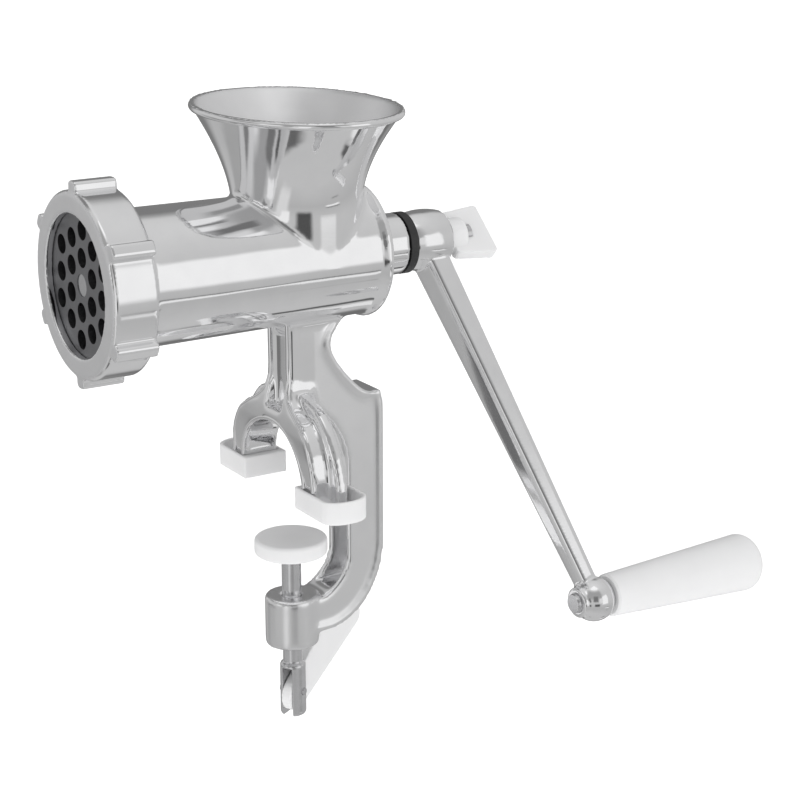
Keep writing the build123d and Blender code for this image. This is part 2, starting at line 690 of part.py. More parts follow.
def thumb_screw_wing():
    """The plastic wing of the thumb screw, widening away from its hub."""
    back = THUMB_FRONT_Y + THUMB_WING_L
    root = THUMB_FRONT_Y + THUMB_WING_START
    with BuildPart() as wing:
        with BuildSketch(Plane.XZ.offset(-THUMB_WING_T / 2)):
            with BuildLine():
                Polyline(
                    (-THUMB_WING_HALF_ROOT, root),
                    (THUMB_WING_HALF_ROOT, root),
                    (THUMB_WING_HALF_END, back),
                    (-THUMB_WING_HALF_END, back),
                    close=True,
                )
            make_face()
            fillet(vertices(), THUMB_WING_CORNER)
        extrude(amount=THUMB_WING_T)
    hub = rod(THUMB_HUB_R, THUMB_FRONT_Y, THUMB_FRONT_Y + THUMB_HUB_L)
    hub = fillet(hub.edges().filter_by(GeomType.CIRCLE).sort_by(Axis.Z)[-1], THUMB_HUB_ROUND)
    knob = Rot(0, 0, THUMB_WING_ANGLE) * (hub + wing.part)
    return on_barrel(knob - rod(THUMB_STUD_R, THUMB_FRONT_Y - CUT_OVER, THUMB_TIP_Y + THUMB_STUD_L))


def handle_pin():
    """The pin that the grip turns on, riveted through the ball end."""
    start = CRANK_LEAN_Y - NUB_L
    pin = rod(GRIP_PIN_R, start, GRIP_PIN_END_Y)
    head_r = GRIP_PIN_R + PIN_HEAD_W
    head = Pos(0, 0, start) * Sphere(head_r)
    head &= rod(head_r + CUT_OVER, start - PIN_HEAD_T, start)
    return on_grip(pin + head)


def handle_washer():
    """The thin washer between the ball end and the grip."""
    return on_grip(washer(GRIP_PIN_R + GRIP_WASHER_W, GRIP_PIN_R, CRANK_LEAN_Y + BALL_FLAT, GRIP_WASHER_T))


def grip_room_start():
    """Where the pocket for the retaining clip begins inside the grip."""
    return GRIP_PIN_END_Y - CLIP_SETBACK


def handle_grip():
    """The plastic grip, widening to a rounded end, bored for its pin and counterbored for its clip."""
    end = GRIP_FRONT_Y + GRIP_L
    with BuildPart() as grip:
        with BuildSketch(Plane.XZ):
            with BuildLine():
                Polyline(
                    (0, GRIP_FRONT_Y),
                    (GRIP_R_FRONT - GRIP_FRONT_EDGE, GRIP_FRONT_Y),
                    (GRIP_R_FRONT, GRIP_FRONT_Y + GRIP_FRONT_EDGE),
                    (GRIP_R_BACK, end - GRIP_END_ROUND),
                )
                centre = (0, end - GRIP_END_ROUND)
                EllipticalCenterArc(centre, GRIP_R_BACK, GRIP_END_ROUND, start_angle=0, arc_size=90)
                Line((0, end), (0, GRIP_FRONT_Y))
            make_face()
        revolve(axis=Axis.Z)
    bore = rod(GRIP_PIN_R + RUN_FIT, GRIP_FRONT_Y - CUT_OVER, end)
    room = rod(GRIP_CAP_R, grip_room_start(), end + CUT_OVER)
    return on_grip(grip.part - bore - room)


def handle_retaining_clip():
    """The push-on clip that keeps the grip on its pin."""
    return on_grip(washer(CLIP_R, GRIP_PIN_R, grip_room_start() + RUN_FIT, CLIP_T))


def grip_end_height(radius):
    """Where the grip's rounded end lies at a radius."""
    return GRIP_FRONT_Y + GRIP_L - GRIP_END_ROUND * (1 - math.sqrt(1 - (radius / GRIP_R_BACK) ** 2))


def grip_end_cap():
    """The flat plug that closes the end of the grip, level with the rounding round it."""
    return on_grip(rod(GRIP_CAP_R, GRIP_PIN_END_Y + CAP_SETBACK, grip_end_height(GRIP_CAP_R)))


def boot(side):
    """One plastic boot: a D-shaped tray, square inwards and rounded outwards, with an open top."""

    def outline(inset):
        inner = BOOT_INNER_X + inset
        outer = BOOT_OUTER_X - inset
        half = BOOT_HALF_W - inset
        straight = BOOT_OUTER_X - BOOT_END_DEPTH
        with BuildSketch() as shape:
            with BuildLine():
                Polyline((straight, half), (inner, half), (inner, -half), (straight, -half))
                EllipticalCenterArc((straight, 0), outer - straight, half, start_angle=-90, arc_size=180)
            make_face()
        return shape.sketch

    tray = extrude(outline(0), amount=BOOT_H)
    tray -= Pos(0, 0, BOOT_FLOOR) * extrude(outline(BOOT_WALL), amount=BOOT_H)
    tray = Pos(0, BOOT_SHIFT_Y, 0) * tray
    pad_half = BOOT_HALF_W - BOOT_WALL
    pad = bar(BOOT_INNER_X + BOOT_WALL, LIMB_INNER_X, -pad_half, pad_half, BOOT_FLOOR, BOOT_H)
    tray = tray + Pos(0, BOOT_SHIFT_Y, 0) * pad
    return tray if side > 0 else mirror(tray, about=Plane.YZ)


def clamp_screw():
    """The clamp screw: threaded shank, spigot for the pad and a slotted end for the wing lever."""
    screw = rod(SCREW_R, CLEVIS_TOP_Z, PAD_BOTTOM_Z)
    screw += rod(SPIGOT_R, PAD_BOTTOM_Z, PAD_BOTTOM_Z + SPIGOT_L)
    screw -= washer(SPIGOT_R + CUT_OVER, GROOVE_R, GROOVE_Z, SPIGOT_GROOVE)
    clevis = rod(CLEVIS_R, CLEVIS_BOTTOM_Z, CLEVIS_TOP_Z)
    clevis = fillet(clevis.edges().filter_by(GeomType.CIRCLE), CLEVIS_ROUND)
    reach = CLEVIS_R + CUT_OVER
    half = WING_T / 2 + WING_SIDE_GAP
    slot = bar(-reach, reach, -half, half, CLEVIS_BOTTOM_Z - CUT_OVER, CLEVIS_TOP_Z - CLEVIS_SLOT_TOP)
    pin_hole = Pos(0, 0, CLEVIS_PIN_Z) * Rot(90, 0, 0) * Cylinder(CLEVIS_PIN_R, 4 * CLEVIS_R)
    clevis = clevis - slot - pin_hole
    return Rot(0, 0, CLEVIS_ANGLE) * (screw + clevis)


def clamp_pad():
    """The round pad that presses up under the table."""
    pad = rod(PAD_R, PAD_BOTTOM_Z, PAD_TOP_Z)
    pad = fillet(pad.edges().filter_by(GeomType.CIRCLE), PAD_EDGE)
    room_top = PAD_BOTTOM_Z + SPIGOT_L + PAD_CLIP_ROOM
    pad -= rod(SPIGOT_R + RUN_FIT, PAD_BOTTOM_Z - CUT_OVER, room_top)
    return pad - rod(PAD_CLIP_R + SIDE_GAP, GROOVE_Z - RUN_FIT, room_top)


def pad_retaining_clip():
    """The clip in the spigot's groove that keeps the pad on the screw."""
    return washer(PAD_CLIP_R, GROOVE_R, GROOVE_Z, PAD_CLIP_T)


def clevis_pin():
    """The cross pin that the wing lever swings on."""
    pin = Cylinder(CLEVIS_PIN_R, 2 * (CLEVIS_R + CLEVIS_PIN_OUT))
    return Rot(0, 0, CLEVIS_ANGLE) * Pos(0, 0, CLEVIS_PIN_Z) * Rot(90, 0, 0) * pin


def clamp_wing():
    """The plastic wing lever: round at its pin, wide at its far end, deeper on its lower side."""
    root_r = (WING_ROOT_UP + WING_ROOT_DOWN) / 2
    with BuildPart() as wing:
        with BuildSketch(Plane.XZ.offset(-WING_T / 2)):
            with BuildLine():
                Polyline(
                    (0, -WING_ROOT_DOWN),
                    (WING_L, -WING_END_DOWN),
                    (WING_L, WING_END_UP),
                    (0, WING_ROOT_UP),
                    close=True,
                )
            make_face()
            fillet(vertices().sort_by(Axis.X)[-2:], WING_CORNER)
            with Locations((0, WING_ROOT_UP - root_r)):
                Circle(root_r)
        extrude(amount=WING_T)
    hole = Rot(90, 0, 0) * Cylinder(CLEVIS_PIN_R + RUN_FIT, 3 * WING_T)
    lever = Rot(0, -WING_RISE, 0) * (wing.part - hole)
    return Rot(0, 0, CLEVIS_ANGLE) * Pos(0, 0, CLEVIS_PIN_Z) * lever


def main():
    """Builds every piece and writes one STEP file for each."""
    os.makedirs("parts", exist_ok=True)
    pieces = {
        "body_casting": body_casting(),
        "plate_locating_pin": plate_locating_pin(),
        "rear_bearing_bush": rear_bearing_bush(),
        "foot_boot_left": boot(-1),
        "foot_boot_right": boot(1),
        "ring_nut": ring_nut(),
        "grinding_plate": grinding_plate(),
        "cutting_knife": cutting_knife(),
        "auger": auger(),
        "auger_drive_stud": auger_drive_stud(),
        "thrust_washer": thrust_washer(),
        "shaft_seal_ring": shaft_seal_ring(),
        "crank_arm": crank_arm(),
        "thumb_screw_washer": thumb_screw_washer(),
        "thumb_screw_stud": thumb_screw_stud(),
        "thumb_screw_wing": thumb_screw_wing(),
        "handle_pin": handle_pin(),
        "handle_washer": handle_washer(),
        "handle_grip": handle_grip(),
        "handle_retaining_clip": handle_retaining_clip(),
        "grip_end_cap": grip_end_cap(),
        "clamp_screw": clamp_screw(),
        "clamp_pad": clamp_pad(),
        "pad_retaining_clip": pad_retaining_clip(),
        "clevis_pin": clevis_pin(),
        "clamp_wing": clamp_wing(),
    }
    for name, piece in pieces.items():
        export_step(piece, f"parts/{name}.step")


if __name__ == "__main__":
    main()
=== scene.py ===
"""Hand crank meat grinder: cast rounding, screw threads, finishes and a plain studio.

Every length is in metres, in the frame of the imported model: +Z is up, and the outlet
faces -Y.
"""

import logging
import math
from dataclasses import dataclass, field
from enum import Enum
from typing import Any, Callable, Iterable, Sequence, Union

import bmesh
import bpy
import numpy as np
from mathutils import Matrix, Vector


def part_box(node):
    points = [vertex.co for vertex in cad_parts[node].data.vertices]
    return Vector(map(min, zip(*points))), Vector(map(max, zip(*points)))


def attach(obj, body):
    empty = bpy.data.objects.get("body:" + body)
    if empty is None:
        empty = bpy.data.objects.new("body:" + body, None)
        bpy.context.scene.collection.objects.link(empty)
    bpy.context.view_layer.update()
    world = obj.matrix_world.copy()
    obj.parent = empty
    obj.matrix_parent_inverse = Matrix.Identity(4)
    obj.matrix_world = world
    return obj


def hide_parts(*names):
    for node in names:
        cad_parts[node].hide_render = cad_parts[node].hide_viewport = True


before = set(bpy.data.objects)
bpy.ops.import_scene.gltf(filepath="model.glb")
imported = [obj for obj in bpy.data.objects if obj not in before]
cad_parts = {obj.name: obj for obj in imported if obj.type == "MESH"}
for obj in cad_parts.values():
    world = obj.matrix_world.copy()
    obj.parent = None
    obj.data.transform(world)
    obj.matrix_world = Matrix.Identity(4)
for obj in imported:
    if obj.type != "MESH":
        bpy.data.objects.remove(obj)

LOG = logging.getLogger("meat_grinder")
MM = 0.001
WELD = 1e-6
Colour = tuple[float, float, float]


class Slot(Enum):
    """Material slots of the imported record."""

    ALUMINIUM = "cast_aluminium"
    STEEL = "bright_steel"
    PLATE = "dark_steel"
    PLASTIC = "white_plastic"
    RUBBER = "black_rubber"
    BRONZE = "bearing_bronze"


class Member(Enum):
    """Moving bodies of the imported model."""

    HOUSING = "housing"
    CRANK = "crank"
    GRIP = "grip"
    THUMB_WASHER = "thumb_washer"
    THUMB_SCREW = "thumb_screw"
    PLATE = "plate"
    RING = "ring"
    PAD = "pad"
    SCREW = "screw"
    WING = "wing_lever"


# ---------------------------------------------------------------- node trees


class Num:
    """One number in a node tree, on which arithmetic adds Math nodes."""

    def __init__(self, sheet: "NodeSheet", socket: bpy.types.NodeSocket) -> None:
        """Wraps a socket of that sheet."""
        self.sheet = sheet
        self.socket = socket

    def __add__(self, other: "Value") -> "Num":
        """Returns self + other."""
        return self.sheet.math("ADD", self, other)

    def __sub__(self, other: "Value") -> "Num":
        """Returns self - other."""
        return self.sheet.math("SUBTRACT", self, other)

    def __rsub__(self, other: "Value") -> "Num":
        """Returns other - self."""
        return self.sheet.math("SUBTRACT", other, self)

    def __mul__(self, other: "Value") -> "Num":
        """Returns self * other."""
        return self.sheet.math("MULTIPLY", self, other)

    def __truediv__(self, other: "Value") -> "Num":
        """Returns self / other."""
        return self.sheet.math("DIVIDE", self, other)

    def __abs__(self) -> "Num":
        """Returns the size of self."""
        return self.sheet.math("ABSOLUTE", self)

    __radd__ = __add__
    __rmul__ = __mul__

    def toward(self, goal: "Value", share: "Value") -> "Num":
        """Returns self moved that share of the way to goal."""
        return self + (goal - self) * share


Value = Union[Num, float]


class NodeSheet:
    """A node tree with one short way to add any node."""

    def __init__(self, tree: bpy.types.NodeTree) -> None:
        """Empties the tree and keeps it."""
        tree.nodes.clear()
        self.tree = tree

    def node(self, kind: str, settings: dict[str, Any] | None = None,
             inputs: dict[str, Any] | None = None) -> bpy.types.Node:
        """Adds a node.

        Args:
            kind: the node's type name.
            settings: its own settings, which are set first.
            inputs: values or links of its sockets, by identifier, name or index.

        Returns:
            The new node.
        """
        made = self.tree.nodes.new(kind)
        for key, value in (settings or {}).items():
            setattr(made, key, value)
        for key, value in (inputs or {}).items():
            self.feed(self.find(made.inputs, key), value)
        return made

    def find(self, sockets: Iterable[bpy.types.NodeSocket],
             key: str | int) -> bpy.types.NodeSocket:
        """Finds a socket.

        Args:
            sockets: a node's inputs or outputs.
            key: its identifier, name or place.

        Returns:
            The socket.
        """
        row = list(sockets)
        if isinstance(key, int):
            return row[key]
        by_id = [s for s in row if s.identifier == key]
        return (by_id or [s for s in row if s.name == key])[0]

    def feed(self, socket: bpy.types.NodeSocket, value: Any) -> None:
        """Links or sets a socket, whichever the value calls for.

        Args:
            socket: the input.
            value: a number of the tree, another node's output, or a plain value.
        """
        if isinstance(value, Num):
            value = value.socket
        if isinstance(value, bpy.types.NodeSocket):
            self.tree.links.new(value, socket)
        else:
            socket.default_value = value

    def out(self, node: bpy.types.Node, key: str | int = 0) -> Num:
        """Returns one of a node's outputs as a number."""
        return Num(self, self.find(node.outputs, key))

    def math(self, operation: str, *values: Value) -> Num:
        """Adds a Math node and returns its result."""
        inputs = dict(enumerate(values))
        return self.out(self.node("ShaderNodeMath", {"operation": operation}, inputs))

    def parts(self, vector: bpy.types.NodeSocket) -> tuple[Num, Num, Num]:
        """Splits a vector into its x, y and z."""
        split = self.node("ShaderNodeSeparateXYZ", None, {0: vector})
        return self.out(split, 0), self.out(split, 1), self.out(split, 2)

    def smooth(self, value: Value, low: float, high: float) -> Num:
        """Rises smoothly from 0 at low to 1 at high, or falls where high is lower.

        Args:
            value: what is compared with the two.
            low: where the result is 0.
            high: where the result is 1.

        Returns:
            The smooth step.
        """
        start, end = min(low, high), max(low, high)
        node = self.node("ShaderNodeMapRange", {"interpolation_type": "SMOOTHSTEP"},
                         {"Value": value, "From Min": start, "From Max": end})
        rise = self.out(node, "Result")
        return rise if high >= low else 1.0 - rise

    def ramp(self, value: Value, stops: Sequence[tuple[float, float]]) -> Num:
        """Reads a grey ramp.

        Args:
            value: where to read it, from 0 to 1.
            stops: place and grey of each stop.

        Returns:
            The grey there.
        """
        node = self.node("ShaderNodeValToRGB", None, {"Fac": value})
        ramp = node.color_ramp
        while len(ramp.elements) < len(stops):
            ramp.elements.new(0.5)
        for element, (place, grey) in zip(ramp.elements, stops):
            element.position = place
            element.color = (grey, grey, grey, 1.0)
        return self.out(node, "Color")

    def noise(self, place: bpy.types.NodeSocket, scale: float, detail: float = 2.0,
              stretch: tuple[float, float, float] = (1.0, 1.0, 1.0)) -> Num:
        """Adds a noise pattern.

        Args:
            place: the coordinates to read.
            scale: waves a metre.
            detail: how much finer noise is added.
            stretch: scale along each axis.

        Returns:
            A number round one half.
        """
        mapped = self.node("ShaderNodeMapping", None,
                           {"Vector": place, "Scale": stretch})
        node = self.node("ShaderNodeTexNoise", None,
                         {"Vector": mapped.outputs[0], "Scale": scale,
                          "Detail": detail})
        return self.out(node, 0)

    def tint(self, share: Value, first: Colour, second: Colour) -> bpy.types.NodeSocket:
        """Mixes two colours.

        Args:
            share: 0 for the first colour, 1 for the second.
            first: the one colour.
            second: the other.

        Returns:
            The mixed colour.
        """
        node = self.node("ShaderNodeMix", {"data_type": "RGBA"},
                         {"Factor_Float": share, "A_Color": (*first, 1.0),
                          "B_Color": (*second, 1.0)})
        return self.find(node.outputs, "Result_Color")


# ------------------------------------------------------------------ finishes


@dataclass(frozen=True)
class Finish:
    """What every finish has: a name, and a material made from it."""

    name: str

    def material(self) -> bpy.types.Material:
        """Makes the material once.

        Returns:
            The new material, or the one of that name.
        """
        known = bpy.data.materials.get(self.name)
        if known:
            return known
        made = bpy.data.materials.new(self.name)
        made.use_nodes = True
        sheet = NodeSheet(made.node_tree)
        place = sheet.node("ShaderNodeTexCoord").outputs["Object"]
        shader = sheet.node("ShaderNodeBsdfPrincipled", None,
                            self.sockets(sheet, place))
        sheet.node("ShaderNodeOutputMaterial", None, {"Surface": shader.outputs[0]})
        return made

    def sockets(self, sheet: NodeSheet,
                place: bpy.types.NodeSocket) -> dict[str, Any]:
        """Works out what feeds the shader; each finish has its own way.

        Args:
            sheet: the material's nodes.
            place: the point on the piece, in metres.

        Returns:
            Values and links of the shader's sockets, by name.
        """
        raise NotImplementedError

    def relief(self, sheet: NodeSheet, height: Value,
               depth: float) -> bpy.types.NodeSocket:
        """Turns a height pattern of that depth into a normal."""
        node = sheet.node("ShaderNodeBump", None,
                          {"Height": height, "Distance": depth, "Strength": 1.0})
        return node.outputs[0]


@dataclass(frozen=True)
class CastFinish(Finish):
    """Cast aluminium: buffed by hand outside, and left dull where DULL says so."""

    light: Colour = (0.97, 0.97, 0.975)
    dark: Colour = (0.89, 0.89, 0.90)
    gloss: float = 0.06
    dull: float = 0.40
    patch: float = 0.03
    wave: float = 0.00022
    wave_scale: float = 38.0
    mottle_ratio: float = 3.0
    grain: float = 0.000012
    grain_scale: float = 900.0
    buffed_grain: float = 0.25

    def sockets(self, sheet: NodeSheet,
                place: bpy.types.NodeSocket) -> dict[str, Any]:
        """Mottles the colour, patches the gloss and adds hand-buffed waves.

        Args:
            sheet: the material's nodes.
            place: the point on the piece, in metres.

        Returns:
            Values and links of the shader's sockets.
        """
        waves = sheet.noise(place, self.wave_scale, 1.0)
        mottle = sheet.noise(place, self.wave_scale * self.mottle_ratio, 3.0)
        grain = sheet.noise(place, self.grain_scale, 2.0)
        dull = sheet.out(sheet.node("ShaderNodeAttribute",
                                    {"attribute_name": CastSkin.DULL}), "Fac")
        rough = self.gloss + (mottle - 0.5) * self.patch
        rough = rough.toward(self.dull + (grain - 0.5) * self.patch, dull)
        swell = self.relief(sheet, waves, self.wave)
        fine = sheet.node("ShaderNodeBump", None,
                          {"Height": grain * (self.buffed_grain + dull),
                           "Distance": self.grain, "Strength": 1.0,
                           "Normal": swell})
        return {"Base Color": sheet.tint(mottle, self.dark, self.light),
                "Metallic": 1.0, "Roughness": rough, "Normal": fine.outputs[0]}


@dataclass(frozen=True)
class TurnedFinish(Finish):
    """Turned steel: fine rings round the part's own axis, and rubbed patches."""

    light: Colour = (0.72, 0.72, 0.73)
    dark: Colour = (0.60, 0.60, 0.61)
    gloss: float = 0.18
    rub_scale: float = 220.0
    rub: float = 0.12
    ring_scale: float = 1600.0
    ring_stretch: tuple[float, float, float] = (0.04, 1.0, 1.0)
    ring_depth: float = 0.000006

    def sockets(self, sheet: NodeSheet,
                place: bpy.types.NodeSocket) -> dict[str, Any]:
        """Cuts fine rings along the length and varies the gloss.

        Args:
            sheet: the material's nodes.
            place: the point on the piece, in metres.

        Returns:
            Values and links of the shader's sockets.
        """
        rubbed = sheet.noise(place, self.rub_scale, 3.0)
        rings = sheet.noise(place, self.ring_scale, 1.0, self.ring_stretch)
        return {"Base Color": sheet.tint(rubbed, self.dark, self.light),
                "Metallic": 1.0,
                "Roughness": self.gloss + (rubbed - 0.5) * self.rub,
                "Normal": self.relief(sheet, rings, self.ring_depth)}


@dataclass(frozen=True)
class GroundFinish(Finish):
    """Ground plate steel: faint rings round the outlet's axis."""

    light: Colour = (0.30, 0.30, 0.31)
    dark: Colour = (0.22, 0.22, 0.23)
    gloss: float = 0.40
    axis_height: float = 0.095
    ring_pitch: float = 0.0006
    ring_depth: float = 0.000015
    oil_scale: float = 130.0
    oil: float = 0.16

    def sockets(self, sheet: NodeSheet,
                place: bpy.types.NodeSocket) -> dict[str, Any]:
        """Grinds rings round the outlet's axis and adds dark oily patches.

        Args:
            sheet: the material's nodes.
            place: the point on the piece, in metres.

        Returns:
            Values and links of the shader's sockets.
        """
        x, _, z = sheet.parts(place)
        height = z - self.axis_height
        radius = sheet.math("SQRT", x * x + height * height)
        rings = sheet.math("SINE", radius * (2.0 * math.pi / self.ring_pitch))
        oily = sheet.noise(place, self.oil_scale, 3.0)
        return {"Base Color": sheet.tint(oily, self.dark, self.light),
                "Metallic": 1.0,
                "Roughness": self.gloss + (oily - 0.5) * self.oil,
                "Normal": self.relief(sheet, rings * oily, self.ring_depth)}


@dataclass(frozen=True)
class PlasticFinish(Finish):
    """Milky moulded plastic with a soft sheen and a faint moulding texture."""

    light: Colour = (0.86, 0.86, 0.865)
    dark: Colour = (0.80, 0.80, 0.805)
    gloss: float = 0.36
    milk: float = 0.25
    milk_depth: float = 0.004
    cloud_scale: float = 60.0
    sheen_change: float = 0.14
    texture: float = 0.000012
    texture_scale: float = 1500.0

    def sockets(self, sheet: NodeSheet,
                place: bpy.types.NodeSocket) -> dict[str, Any]:
        """Clouds the colour, varies the sheen and adds a moulded texture.

        Args:
            sheet: the material's nodes.
            place: the point on the piece, in metres.

        Returns:
            Values and links of the shader's sockets.
        """
        cloud = sheet.noise(place, self.cloud_scale, 2.0)
        texture = sheet.noise(place, self.texture_scale, 2.0)
        return {"Base Color": sheet.tint(cloud, self.dark, self.light),
                "Roughness": self.gloss + (cloud - 0.5) * self.sheen_change,
                "Subsurface Weight": self.milk, "Subsurface Scale": self.milk_depth,
                "Subsurface Radius": (1.0, 1.0, 1.0),
                "Normal": self.relief(sheet, texture, self.texture)}


@dataclass(frozen=True)
class RubberFinish(Finish):
    """Black rubber with a faint bloom."""

    light: Colour = (0.035, 0.035, 0.036)
    dark: Colour = (0.012, 0.012, 0.012)
    gloss: float = 0.42
    bloom_scale: float = 300.0
    bloom: float = 0.2
    pebble_scale: float = 2200.0
    pebble_depth: float = 0.00003

    def sockets(self, sheet: NodeSheet,
                place: bpy.types.NodeSocket) -> dict[str, Any]:
        """Adds a patchy bloom and a pebbled skin.

        Args:
            sheet: the material's nodes.
            place: the point on the piece, in metres.

        Returns:
            Values and links of the shader's sockets.
        """
        bloom = sheet.noise(place, self.bloom_scale, 3.0)
        pebble = sheet.noise(place, self.pebble_scale, 1.0)
        return {"Base Color": sheet.tint(bloom, self.dark, self.light),
                "Roughness": self.gloss + (bloom - 0.5) * self.bloom,
                "Normal": self.relief(sheet, pebble, self.pebble_depth)}


POLISHED = CastFinish("polished_casting")
RING_CAST = CastFinish("satin_ring_casting", gloss=0.09,
                       dull=0.55, wave=0.00010)
ARM_CAST = CastFinish("polished_arm", gloss=0.09, wave=0.00010, wave_scale=55.0)
ROUGH_CAST = CastFinish("tumbled_casting", light=(0.36, 0.36, 0.37),
                        dark=(0.22, 0.22, 0.23), gloss=0.42, wave=0.00012)
BRIGHT = TurnedFinish("bright_turned_steel")
PLATED = TurnedFinish("plated_clamp_screw", light=(0.80, 0.80, 0.81),
                      dark=(0.68, 0.68, 0.69), gloss=0.14)
GROUND = GroundFinish("dark_ground_steel")
FORGED = GroundFinish("forged_knife_steel", light=(0.13, 0.13, 0.135),
                      dark=(0.06, 0.06, 0.065), gloss=0.50)
WHITE = PlasticFinish("milky_white_plastic")
BLACK = RubberFinish("black_seal_rubber")
BRONZE = TurnedFinish("bearing_bronze", light=(0.66, 0.43, 0.20),
                      dark=(0.50, 0.31, 0.13), gloss=0.30)


# --------------------------------------------------------------------- pieces


def link(name: str, mesh: bpy.types.Mesh) -> bpy.types.Object:
    """Puts a mesh into the scene as an object of that name."""
    made = bpy.data.objects.new(name, mesh)
    bpy.context.scene.collection.objects.link(made)
    return made


def settle(piece: bpy.types.Object) -> None:
    """Turns what a piece's modifiers make into its plain mesh.

    Args:
        piece: the piece, with its modifiers still live.
    """
    graph = bpy.context.evaluated_depsgraph_get()
    mesh = bpy.data.meshes.new_from_object(piece.evaluated_get(graph))
    piece.modifiers.clear()
    piece.data = mesh
    mesh.name = piece.name


def finish_piece(piece: bpy.types.Object, member: Member, slot: Slot,
                 finish: Finish, *nodes: str) -> None:
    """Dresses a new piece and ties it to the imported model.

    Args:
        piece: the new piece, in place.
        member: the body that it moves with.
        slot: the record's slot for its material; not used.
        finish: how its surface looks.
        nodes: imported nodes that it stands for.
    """
    piece.data.materials.clear()
    piece.data.materials.append(finish.material())
    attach(piece, member.value)
    if nodes:
        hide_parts(*nodes)
    LOG.info("%s: %d faces, moves with %s", piece.name, len(piece.data.polygons),
             member.value)


def dress(finish: Finish, *nodes: str) -> None:
    """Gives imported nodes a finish; their meshes stay as they are.

    Args:
        finish: how their surface looks.
        nodes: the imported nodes.
    """
    for node in nodes:
        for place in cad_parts[node].material_slots:
            place.material = finish.material()
        LOG.info("%s: packed mesh with %s", node, finish.name)


@dataclass
class CastSkin:
    """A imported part's surface with its edges rounded, as casting leaves them."""

    DULL = "dull"

    node: str
    name: str
    cell: float
    passes: int = 6
    pull: float = 0.5

    def build(self) -> bpy.types.Object:
        """Makes the rounded skin.

        Returns:
            The new piece, not yet tied to a body.
        """
        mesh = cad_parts[self.node].data.copy()
        sheet = bmesh.new()
        sheet.from_mesh(mesh)
        bmesh.ops.remove_doubles(sheet, verts=sheet.verts, dist=WELD)
        sheet.to_mesh(mesh)
        sheet.free()
        piece = link(self.name, mesh)
        skin = piece.modifiers.new("skin", "REMESH")
        skin.mode = "VOXEL"
        skin.voxel_size = self.cell
        skin.adaptivity = 0.0
        skin.use_smooth_shade = True
        soft = piece.modifiers.new("soft", "SMOOTH")
        soft.factor = self.pull
        soft.iterations = self.passes
        settle(piece)
        return piece

    @classmethod
    def mark(cls, piece: bpy.types.Object,
             rule: Callable[[np.ndarray, np.ndarray], np.ndarray]) -> None:
        """Marks where a skin is dull.

        Args:
            piece: the skin.
            rule: gives 0 to 1 for points and normals, as rows of three.
        """
        mesh = piece.data
        count = len(mesh.vertices)
        place = np.zeros(count * 3)
        facing = np.zeros(count * 3)
        mesh.vertices.foreach_get("co", place)
        mesh.vertices.foreach_get("normal", facing)
        value = rule(place.reshape(-1, 3), facing.reshape(-1, 3))
        made = mesh.attributes.new(cls.DULL, "FLOAT", "POINT")
        made.data.foreach_set("value", value.astype(np.float32))


class ShapeTree:
    """A geometry node tree with named inputs, made once and used by several pieces."""

    NAME = "shape"
    INPUTS: dict[str, str] = {}

    def __init__(self) -> None:
        """Makes the tree's inputs, its shape and its two closing nodes."""
        self.tree = bpy.data.node_groups.new(self.NAME, "GeometryNodeTree")
        face = self.tree.interface
        self.names = {
            name: face.new_socket(name, socket_type=f"NodeSocket{kind}").identifier
            for name, kind in (self.INPUTS | {"Material": "Material"}).items()}
        face.new_socket("Geometry", in_out="OUTPUT",
                        socket_type="NodeSocketGeometry")
        sheet = NodeSheet(self.tree)
        given = sheet.node("NodeGroupInput")
        whole = sheet.node("GeometryNodeRealizeInstances", None,
                           {"Geometry": self.shape(sheet, given)})
        faced = sheet.node("GeometryNodeSetMaterial", None,
                           {"Geometry": whole.outputs[0],
                            "Material": given.outputs["Material"]})
        sheet.node("NodeGroupOutput", None, {0: faced.outputs[0]})

    def shape(self, sheet: NodeSheet, given: bpy.types.Node) -> bpy.types.NodeSocket:
        """Builds the nodes that make the shape; each tree has its own.

        Args:
            sheet: the tree's nodes.
            given: the node that holds the tree's inputs.

        Returns:
            The shape.
        """
        raise NotImplementedError

    def grow(self, piece: bpy.types.Object, values: dict[str, Any]) -> None:
        """Lets the tree make a piece's mesh, with its faces outward.

        Args:
            piece: the piece, whose own mesh is what the tree starts from.
            values: the tree's inputs, by name.
        """
        grown = piece.modifiers.new(self.NAME, "NODES")
        grown.node_group = self.tree
        for name, value in values.items():
            grown[self.names[name]] = value
        settle(piece)
        outward(piece)


